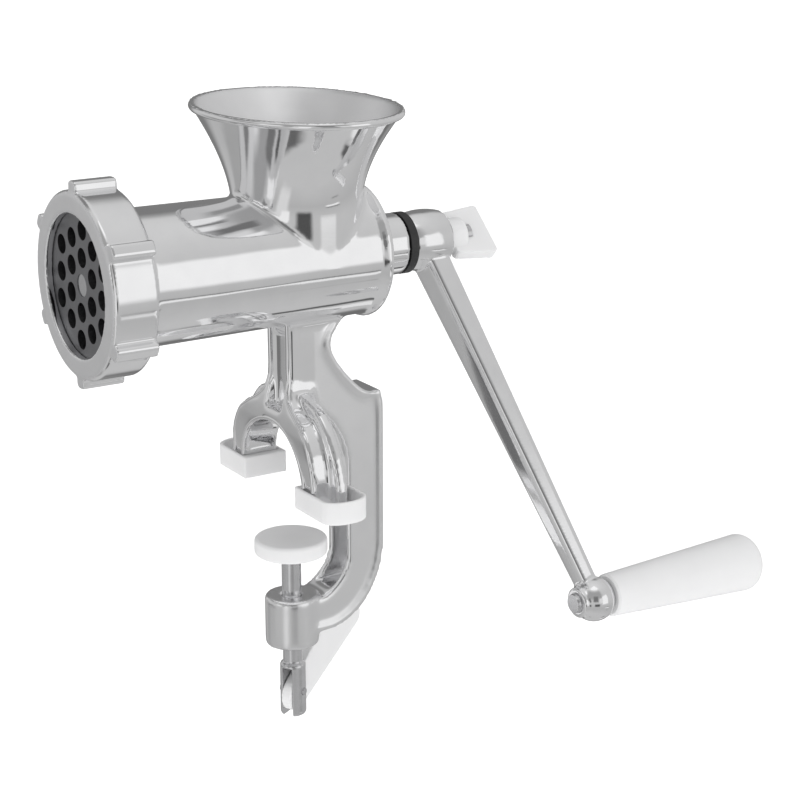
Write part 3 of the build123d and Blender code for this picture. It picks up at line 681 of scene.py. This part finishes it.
class ThreadTree(ShapeTree):
    """Geometry nodes that wind a V-shaped thread ridge round +Z, then turn it."""

    NAME = "thread_ridge"
    INPUTS = {"Radius": "Float", "Pitch": "Float", "Turns": "Float",
              "Depth": "Float", "Sink": "Float", "Steps": "Int",
              "Origin": "Vector", "Turn": "Vector"}

    def shape(self, sheet: NodeSheet, given: bpy.types.Node) -> bpy.types.NodeSocket:
        """Winds a strip of three sides into a helix that tapers at its ends.

        Args:
            sheet: the tree's nodes.
            given: the node that holds the tree's inputs.

        Returns:
            The ridge.
        """
        size = {name: sheet.out(given, name) for name in self.INPUTS}
        strip = sheet.node("GeometryNodeMeshGrid", None,
                           {"Size X": 1.0, "Size Y": 1.0,
                            "Vertices X": size["Steps"], "Vertices Y": 4})
        along, across, _ = sheet.parts(
            sheet.node("GeometryNodeInputPosition").outputs[0])
        along, across = along + 0.5, (across + 0.5) * (2.0 * math.pi)
        ends = sheet.math("MINIMUM", along, 1.0 - along) * size["Turns"] * 2.0
        fade = sheet.math("MINIMUM", ends, 1.0)
        # Across the strip the angle is 0 at the crest and a third of a turn either
        # way at the flanks' feet: crest is 1 and 0 there, flank 0 and half a pitch.
        crest = (sheet.math("COSINE", across) + 0.5) / 1.5
        flank = sheet.math("SINE", across) * (0.5 / math.sin(2.0 * math.pi / 3.0))
        radius = (size["Radius"] - size["Sink"]
                  + crest * fade * (size["Depth"] + size["Sink"]))
        angle = along * size["Turns"] * (2.0 * math.pi)
        rise = (along * size["Turns"] + flank * fade) * size["Pitch"]
        point = sheet.node("ShaderNodeCombineXYZ", None,
                           {0: radius * sheet.math("COSINE", angle),
                            1: radius * sheet.math("SINE", angle), 2: rise})
        wound = sheet.node("GeometryNodeSetPosition", None,
                           {"Geometry": strip.outputs[0],
                            "Position": point.outputs[0]})
        closed = sheet.node("GeometryNodeMergeByDistance", None,
                            {"Geometry": wound.outputs[0], "Distance": WELD})
        turned = sheet.node("GeometryNodeTransform", None,
                            {"Geometry": closed.outputs[0],
                             "Translation": size["Origin"],
                             "Rotation": size["Turn"]})
        return turned.outputs[0]


class BeadTree(ShapeTree):
    """Geometry nodes that lay a round bead along a path of edges."""

    NAME = "cast_bead"
    INPUTS = {"Geometry": "Geometry", "Radius": "Float", "Sides": "Int"}

    def shape(self, sheet: NodeSheet, given: bpy.types.Node) -> bpy.types.NodeSocket:
        """Sweeps a circle along the path.

        Args:
            sheet: the tree's nodes.
            given: the node that holds the tree's inputs.

        Returns:
            The bead.
        """
        path = sheet.node("GeometryNodeMeshToCurve", None,
                          {0: given.outputs["Geometry"]})
        ring = sheet.node("GeometryNodeCurvePrimitiveCircle", None,
                          {"Resolution": given.outputs["Sides"],
                           "Radius": given.outputs["Radius"]})
        swept = sheet.node("GeometryNodeCurveToMesh", None,
                           {"Curve": path.outputs[0],
                            "Profile Curve": ring.outputs[0], "Fill Caps": True})
        return swept.outputs[0]


def flowing(points: list[tuple[float, ...]], steps: int) -> list[Vector]:
    """Runs a smooth line through points.

    Args:
        points: the points in order.
        steps: how many pieces each run is cut into.

    Returns:
        Points of the line.
    """
    row = [Vector(p) for p in points]
    row = [2 * row[0] - row[1], *row, 2 * row[-1] - row[-2]]
    line: list[Vector] = []
    for before, start, end, after in zip(row, row[1:], row[2:], row[3:]):
        for step in range(steps):
            t = step / steps
            line.append(0.5 * (2 * start + (end - before) * t
                               + (2 * before - 5 * start + 4 * end - after) * t * t
                               + (3 * start - before - 3 * end + after) * t ** 3))
    return [*line, row[-2]]


@dataclass
class Bead:
    """A round bead on the casting, along a path."""

    name: str
    path: list[Vector]
    radius: float
    closed: bool = False
    sides: int = 14

    def build(self, tree: BeadTree, finish: Finish) -> bpy.types.Object:
        """Makes the bead.

        Args:
            tree: the geometry nodes that lay it.
            finish: the material that it gets.

        Returns:
            The new piece, as a plain mesh.
        """
        count = len(self.path)
        edges = [(i, i + 1) for i in range(count - 1)]
        if self.closed:
            edges.append((count - 1, 0))
        mesh = bpy.data.meshes.new(self.name)
        mesh.from_pydata(self.path, edges, [])
        piece = link(self.name, mesh)
        tree.grow(piece, {"Radius": self.radius, "Sides": self.sides,
                          "Material": finish.material()})
        return piece


def outward(piece: bpy.types.Object) -> None:
    """Turns a closed piece's faces outward and shades them smooth.

    Args:
        piece: the piece, as a plain mesh.
    """
    sheet = bmesh.new()
    sheet.from_mesh(piece.data)
    bmesh.ops.recalc_face_normals(sheet, faces=sheet.faces)
    for face in sheet.faces:
        face.smooth = True
    sheet.to_mesh(piece.data)
    sheet.free()


@dataclass
class Thread:
    """One thread ridge: its sizes, its start, and the turn from +Z to its way."""

    name: str
    radius: float
    pitch: float
    turns: float
    depth: float
    origin: Vector
    turn: tuple[float, float, float]
    sink: float = 0.3 * MM
    facets: int = 48

    def build(self, tree: ThreadTree, finish: Finish) -> bpy.types.Object:
        """Makes the ridge.

        Args:
            tree: the geometry nodes that wind it.
            finish: the material that it gets.

        Returns:
            The new piece, as a plain mesh.
        """
        piece = link(self.name, bpy.data.meshes.new(self.name))
        tree.grow(piece, {"Radius": self.radius, "Pitch": self.pitch,
                          "Turns": self.turns, "Depth": self.depth,
                          "Sink": self.sink,
                          "Steps": int(self.turns * self.facets),
                          "Origin": tuple(self.origin), "Turn": self.turn,
                          "Material": finish.material()})
        return piece


# -------------------------------------------------------------- sub-assemblies


@dataclass
class Housing:
    """The one-piece casting: hopper, barrel, mouth, post, fork, arm and boss."""

    cell: float = 1.03 * MM
    axis_height: float = 95.0 * MM
    bore: float = 26.5 * MM
    hopper_y: float = 5.0 * MM
    hopper_foot: float = 113.0 * MM
    mouth_radius: float = 33.0 * MM
    thread_pitch: float = 3.0 * MM
    thread_depth: float = 1.1 * MM
    thread_turns: float = 3.6
    thread_way: tuple[float, float, float] = (math.pi / 2, 0.0, 0.0)
    rim_half: tuple[float, float] = (50.4 * MM, 38.1 * MM)
    rim_bead: float = 1.4 * MM
    rim_points: int = 160
    # Faces that are brushed and not polished, and how far; cosines of the slopes.
    boss_radius: float = 11.5 * MM
    boss_top: float = -43.0 * MM
    web_start: float = 7.0 * MM
    web_top: float = 66.0 * MM
    brushed: float = 0.55
    inward: float = 0.25
    sideways: float = 0.85
    # The fork's front: its lips run along the arch and down each side.
    lip: float = 1.05 * MM
    post_half: float = 8.2 * MM
    post_front: float = -3.9 * MM
    flare_height: float = 47.0 * MM
    foot_front: float = -7.4 * MM
    boot_top: float = 9.3 * MM
    swell: float = 1.75 * MM
    arch: tuple[float, float] = (24.0 * MM, 29.5 * MM)
    arch_steps: int = 48
    post_heights: tuple[float, ...] = (75.0 * MM, 62.0 * MM, 50.0 * MM)
    limb_line: tuple[tuple[float, float], ...] = (
        (9.6 * MM, 40.2 * MM), (19.3 * MM, 33.6 * MM), (26.6 * MM, 28.6 * MM),
        (30.6 * MM, 20.0 * MM))
    limb_foot: float = 32.3 * MM
    limb_steps: int = 10

    def front(self, height: float) -> float:
        """Finds the fork's front face.

        Args:
            height: how high to look.

        Returns:
            Its place along Y there.
        """
        low = self.boot_top
        share = min(1.0, max(0.0, (height - low) / (self.flare_height - low)))
        swell = self.swell * math.sin(math.pi * share)
        return self.foot_front + (self.post_front - self.foot_front) * share - swell

    def beads(self, tree: BeadTree) -> None:
        """Lays the hopper's rolled rim and the raised lips of the fork's front.

        Args:
            tree: the geometry nodes that lay them.
        """
        _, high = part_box("body_casting")
        wide, deep = (half - self.rim_bead for half in self.rim_half)
        turn = [2.0 * math.pi * i / self.rim_points for i in range(self.rim_points)]
        rim = [Vector((wide * math.cos(a), self.hopper_y + deep * math.sin(a),
                       high.z - self.rim_bead)) for a in turn]
        made = [Bead("hopper_rim_bead", rim, self.rim_bead, closed=True)]
        half, top = self.arch[0] + self.lip, self.arch[1] + self.lip
        rise = top - self.boot_top
        arch = [(half * math.cos(a), self.boot_top + rise * math.sin(a))
                for a in (math.pi * i / self.arch_steps
                          for i in range(self.arch_steps + 1))]
        path = [Vector((x, self.front(z), z)) for x, z in arch]
        made.append(Bead("fork_arch_lip", path, self.lip))
        edge = self.post_half - self.lip
        outline = [*((edge, z) for z in self.post_heights), *self.limb_line,
                   (self.limb_foot, self.boot_top)]
        for side, name in ((1.0, "right"), (-1.0, "left")):
            run = flowing([(side * x, 0.0, z) for x, z in outline],
                          self.limb_steps)
            path = [Vector((p.x, self.front(p.z), p.z)) for p in run]
            made.append(Bead(f"fork_lip_{name}", path, self.lip))
        for bead in made:
            finish_piece(bead.build(tree, POLISHED), Member.HOUSING, Slot.ALUMINIUM,
                         POLISHED)

    def build(self, tree: ThreadTree, bead_tree: BeadTree) -> None:
        """Makes the rounded casting and the mouth's thread, and dresses the rest.

        Args:
            tree: the geometry nodes that wind a thread.
            bead_tree: the geometry nodes that lay a bead.
        """
        self.beads(bead_tree)
        body = CastSkin("body_casting", "body_casting_skin", self.cell).build()
        CastSkin.mark(body, self.inside)
        finish_piece(body, Member.HOUSING, Slot.ALUMINIUM, POLISHED, "body_casting")
        low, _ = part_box("body_casting")
        start = Vector((0.0, low.y + self.thread_turns * self.thread_pitch + MM,
                        self.axis_height))
        ridge = Thread("mouth_thread", self.mouth_radius, self.thread_pitch,
                       self.thread_turns, self.thread_depth, start, self.thread_way)
        finish_piece(ridge.build(tree, POLISHED), Member.HOUSING, Slot.ALUMINIUM,
                     POLISHED)
        dress(BRIGHT, "plate_locating_pin")
        dress(BRONZE, "rear_bearing_bush")

    def inside(self, place: np.ndarray, facing: np.ndarray) -> np.ndarray:
        """Marks the dull inside of hopper and bore, and the brushed boss and web.

        Args:
            place: points of the casting, one a row.
            facing: their normals.

        Returns:
            1 inside, less on brushed faces and 0 on polished ones.
        """
        out = place - np.array([0.0, self.hopper_y, 0.0])
        toward = (out[:, 0] * facing[:, 0] + out[:, 1] * facing[:, 1]
                  < -self.inward * np.hypot(out[:, 0], out[:, 1]))
        hopper = toward & (place[:, 2] > self.hopper_foot)
        up = place[:, 2] - self.axis_height
        bore = (np.hypot(place[:, 0], up) < self.bore) & (
            place[:, 0] * facing[:, 0] + up * facing[:, 2] < 0.0)
        bore &= place[:, 2] > self.axis_height - self.bore
        boss = (np.hypot(place[:, 0], place[:, 1]) < self.boss_radius) & (
            place[:, 2] < self.boss_top)
        web = (np.abs(facing[:, 0]) > self.sideways) & (
            place[:, 1] > self.web_start) & (place[:, 2] < self.web_top)
        return np.maximum((hopper | bore).astype(float),
                          self.brushed * (boss | web))


@dataclass
class Outlet:
    """The ring nut, the hole plate and the knife behind it."""

    cell: float = 0.55 * MM
    face_depth: float = 1.2 * MM
    forward: float = 0.8

    def build(self) -> None:
        """Makes the rounded ring and dresses the plate and the knife."""
        ring = CastSkin("ring_nut", "ring_nut_skin", self.cell,
                        passes=4).build()
        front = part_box("ring_nut")[0].y

        def satin(place: np.ndarray, facing: np.ndarray) -> np.ndarray:
            """Marks the front face, which is turned and not buffed.

            Args:
                place: points of the ring, one a row.
                facing: their normals.

            Returns:
                1 on the front face and 0 elsewhere.
            """
            flat = (facing[:, 1] < -self.forward) & (
                place[:, 1] < front + self.face_depth)
            return flat.astype(float)

        CastSkin.mark(ring, satin)
        finish_piece(ring, Member.RING, Slot.ALUMINIUM, RING_CAST, "ring_nut")
        dress(GROUND, "grinding_plate")
        dress(FORGED, "cutting_knife")


@dataclass
class FeedScrew:
    """The auger with its stud, thrust washer and seal."""

    def build(self) -> None:
        """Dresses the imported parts."""
        dress(ROUGH_CAST, "auger")
        dress(BRIGHT, "auger_drive_stud")
        dress(WHITE, "thrust_washer")
        dress(BLACK, "shaft_seal_ring")


@dataclass
class Crank:
    """The crank arm with the pin that its grip turns on."""

    cell: float = 0.55 * MM

    def build(self) -> None:
        """Makes the rounded arm and dresses the rest."""
        arm = CastSkin("crank_arm", "crank_arm_skin", self.cell,
                       passes=4).build()
        finish_piece(arm, Member.CRANK, Slot.ALUMINIUM, ARM_CAST, "crank_arm")
        dress(BRIGHT, "handle_pin", "handle_washer", "handle_retaining_clip")


@dataclass
class Grip:
    """The turning grip and the plug in its end."""

    def build(self) -> None:
        """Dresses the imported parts."""
        dress(WHITE, "handle_grip", "grip_end_cap")


@dataclass
class ThumbScrew:
    """The wing screw that holds the crank on."""

    cell: float = 0.32 * MM

    def build(self) -> None:
        """Makes the rounded wing and dresses the rest."""
        wing = CastSkin("thumb_screw_wing", "thumb_screw_wing_skin", self.cell,
                        passes=4).build()
        finish_piece(wing, Member.THUMB_SCREW, Slot.PLASTIC, WHITE,
                     "thumb_screw_wing")
        dress(BRIGHT, "thumb_screw_washer", "thumb_screw_stud")


@dataclass
class Clamp:
    """The table clamp's screw, pad, pin and wing lever."""

    cell: float = 0.3 * MM
    wing_cell: float = 0.4 * MM

    def build(self) -> None:
        """Makes the rounded screw and lever, and dresses the rest."""
        screw = CastSkin("clamp_screw", "clamp_screw_skin", self.cell,
                         passes=3).build()
        finish_piece(screw, Member.SCREW, Slot.STEEL, PLATED, "clamp_screw")
        wing = CastSkin("clamp_wing", "clamp_wing_skin", self.wing_cell,
                        passes=5).build()
        finish_piece(wing, Member.WING, Slot.PLASTIC, WHITE, "clamp_wing")
        dress(WHITE, "clamp_pad")
        dress(BRIGHT, "clevis_pin", "pad_retaining_clip")


@dataclass
class Feet:
    """The two boots under the fork."""

    cell: float = 0.4 * MM

    def build(self) -> None:
        """Makes the rounded boots."""
        for side in ("left", "right"):
            node = f"foot_boot_{side}"
            boot = CastSkin(node, f"{node}_skin", self.cell,
                            passes=4).build()
            finish_piece(boot, Member.HOUSING, Slot.PLASTIC, WHITE, node)


# --------------------------------------------------------------------- studio


@dataclass(frozen=True)
class Panel:
    """A soft-edged panel of the room: its glow, and its place and sizes in degrees."""

    glow: float
    azimuth: float
    half: float
    blur: float
    elevation: float
    tall: float
    fade: float

    def cover(self, sheet: NodeSheet, around: Num, height: Num,
              centre: float) -> Num:
        """Finds how far the panel covers a direction.

        Args:
            sheet: the room's nodes.
            around: the direction's azimuth, from the room's centre.
            height: its elevation.
            centre: azimuth of the room's centre.

        Returns:
            1 on the panel, 0 off it and between them at its edges.
        """
        at = (self.azimuth - centre + 180.0) % 360.0 - 180.0
        wide = sheet.smooth(abs(around - at), self.half + self.blur,
                            self.half - self.blur)
        high = sheet.smooth(abs(height - self.elevation), self.tall + self.fade,
                            self.tall - self.fade)
        return wide * high


@dataclass(frozen=True)
class Fill:
    """A wide soft light: where it comes from, in degrees, and its power."""

    azimuth: float
    elevation: float
    power: float


@dataclass
class Studio:
    """Pale floor, a white room whose panels only the metal mirrors, and the camera."""

    aim: Vector = field(default_factory=lambda: Vector((0.02339, 0.03742, 0.0374)))
    azimuth: float = 58.0
    elevation: float = 16.8
    distance: float = 0.820
    lens: float = 93.15
    clip: tuple[float, float] = (0.01, 50.0)
    floor_height: float = -0.25
    floor_half: float = 6.0
    floor_grey: float = 0.97
    floor_glow: float = 0.4
    room_level: float = 0.8
    fills: tuple[Fill, ...] = (Fill(60.0, 60.0, 0.75), Fill(10.0, 15.0, 0.35),
                               Fill(120.0, 10.0, 0.30))
    fill_spread: float = 140.0
    # The room: azimuth of its centre, grey by height, then its panels in order.
    centre: float = 30.0
    sky: tuple[tuple[float, float], ...] = (
        (0.0, 0.64), (0.17, 0.66), (0.33, 0.56), (0.45, 0.66), (0.55, 0.70),
        (0.67, 0.70), (0.8, 0.76), (0.92, 0.84), (1.0, 0.90))
    panels: tuple[Panel, ...] = (
        Panel(0.44, 50.0, 55.0, 12.0, 38.0, 20.0, 8.0),
        Panel(1.22, 60.0, 55.0, 20.0, 84.0, 18.0, 6.0),
        Panel(0.26, -112.0, 24.0, 8.0, 5.0, 42.0, 10.0),
        Panel(0.46, -60.0, 10.0, 4.0, -32.0, 28.0, 8.0),
        Panel(0.27, -62.0, 20.0, 8.0, 45.0, 12.0, 6.0),
        Panel(0.22, -36.0, 22.0, 6.0, -16.0, 3.5, 2.0),
        Panel(0.36, -24.0, 12.0, 6.0, 22.0, 8.0, 4.0),
        Panel(1.06, 5.0, 11.0, 2.5, 9.0, 9.0, 3.0),
        Panel(0.30, 23.0, 5.0, 2.0, 8.0, 9.0, 3.0),
        Panel(0.86, 34.0, 10.0, 4.0, -30.0, 22.0, 6.0),
        Panel(1.06, 41.0, 7.0, 2.0, -6.0, 15.0, 3.0),
        Panel(0.22, 66.0, 13.0, 4.0, 18.0, 14.0, 5.0),
        Panel(0.10, 73.0, 13.0, 4.0, -14.0, 6.0, 4.0),
        Panel(0.90, 96.0, 11.0, 5.0, 8.0, 12.0, 4.0),
        Panel(1.12, 118.0, 15.0, 3.0, 7.5, 19.5, 3.5),
        Panel(0.30, 130.0, 14.0, 4.0, -25.5, 1.0, 0.8),
        Panel(1.05, 130.0, 14.0, 4.0, -28.5, 1.6, 0.8),
        Panel(0.36, 138.0, 7.0, 4.0, -38.5, 0.9, 0.8),
        Panel(0.16, -28.0, 20.0, 8.0, -72.0, 9.0, 5.0),
        Panel(0.98, 202.0, 9.0, 2.0, -57.0, 4.5, 1.5),
        Panel(0.14, 182.0, 6.0, 3.0, -60.0, 4.0, 2.0),
        Panel(0.20, 228.0, 14.0, 5.0, -34.0, 12.0, 5.0))

    def build(self) -> None:
        """Makes the room, the floor and the camera."""
        bpy.context.scene.view_settings.view_transform = "Standard"
        self.world()
        self.fill()
        self.floor()
        self.camera()

    def way(self, azimuth: float, elevation: float) -> Vector:
        """Finds a direction.

        Args:
            azimuth: degrees round from -Y towards +X.
            elevation: degrees up.

        Returns:
            The unit vector out that way.
        """
        turn, lift = math.radians(azimuth), math.radians(elevation)
        return Vector((math.sin(turn) * math.cos(lift),
                       -math.cos(turn) * math.cos(lift), math.sin(lift)))

    def fill(self) -> None:
        """Hangs wide soft lights that plastic and the floor see and metal does not."""
        for number, fill in enumerate(self.fills):
            lamp = bpy.data.lights.new(f"fill_{number}", "SUN")
            lamp.energy = fill.power
            lamp.angle = math.radians(self.fill_spread)
            made = bpy.data.objects.new(lamp.name, lamp)
            made.rotation_mode = "QUATERNION"
            made.rotation_quaternion = self.way(
                fill.azimuth, fill.elevation).to_track_quat("Z", "Y")
            made.visible_glossy = False
            bpy.context.scene.collection.objects.link(made)

    def camera(self) -> None:
        """Sets the camera on the object, from the side and a little above."""
        back = self.way(self.azimuth, self.elevation)
        lens = bpy.data.cameras.new("studio_camera")
        lens.lens = self.lens
        lens.clip_start, lens.clip_end = self.clip
        made = bpy.data.objects.new("studio_camera", lens)
        made.location = self.aim + back * self.distance
        made.rotation_mode = "QUATERNION"
        made.rotation_quaternion = (-back).to_track_quat("-Z", "Y")
        bpy.context.scene.collection.objects.link(made)
        bpy.context.scene.camera = made

    def floor(self) -> None:
        """Lays the pale floor well under the clamp."""
        reach, height = self.floor_half, self.floor_height
        mesh = bpy.data.meshes.new("floor")
        corners = [(-reach, -reach, height), (reach, -reach, height),
                   (reach, reach, height), (-reach, reach, height)]
        mesh.from_pydata(corners, [], [(0, 1, 2, 3)])
        made = link("floor", mesh)
        made.visible_glossy = False
        paint = bpy.data.materials.new("pale_floor")
        paint.use_nodes = True
        shader = paint.node_tree.nodes["Principled BSDF"]
        shader.inputs["Base Color"].default_value = (*[self.floor_grey] * 3, 1.0)
        shader.inputs["Roughness"].default_value = 1.0
        shader.inputs["Specular IOR Level"].default_value = 0.0
        shader.inputs["Emission Color"].default_value = (1.0, 1.0, 1.0, 1.0)
        shader.inputs["Emission Strength"].default_value = self.floor_glow
        mesh.materials.append(paint)

    def world(self) -> None:
        """Makes the room: white to the camera, and panelled where metal mirrors it."""
        room = bpy.data.worlds.new("studio_room")
        room.use_nodes = True
        bpy.context.scene.world = room
        sheet = NodeSheet(room.node_tree)
        mirrored = self.mirrored(sheet)
        seen = sheet.out(sheet.node("ShaderNodeLightPath"), "Is Camera Ray")
        light = (mirrored * self.room_level).toward(1.0, seen)
        shine = sheet.node("ShaderNodeBackground", None,
                           {"Color": (1.0, 1.0, 1.0, 1.0), "Strength": light})
        sheet.node("ShaderNodeOutputWorld", None, {"Surface": shine.outputs[0]})

    def mirrored(self, sheet: NodeSheet) -> Num:
        """Works out what the metal mirrors in each direction.

        Args:
            sheet: the room's nodes.

        Returns:
            How bright the room is that way.
        """
        way = sheet.node("ShaderNodeTexCoord").outputs["Generated"]
        x, y, z = sheet.parts(way)
        turn = math.radians(self.centre)
        side = x * math.cos(turn) + y * math.sin(turn)
        ahead = x * math.sin(turn) - y * math.cos(turn)
        degrees = 180.0 / math.pi
        around = sheet.math("ARCTAN2", side, ahead) * degrees
        height = sheet.math("ARCSINE", z) * degrees
        tone = sheet.ramp((height + 90.0) / 180.0, self.sky)
        for panel in self.panels:
            tone = tone.toward(panel.glow,
                               panel.cover(sheet, around, height, self.centre))
        return tone


def main() -> None:
    """Builds each sub-assembly in order."""
    logging.basicConfig(level=logging.INFO, format="%(name)s %(message)s")
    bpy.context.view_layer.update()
    Studio().build()
    Housing().build(ThreadTree(), BeadTree())
    for part in (Outlet(), FeedScrew(), Crank(), Grip(), ThumbScrew(), Clamp(),
                 Feet()):
        part.build()
    LOG.info("boxes written")


if __name__ == "__main__":
    main()
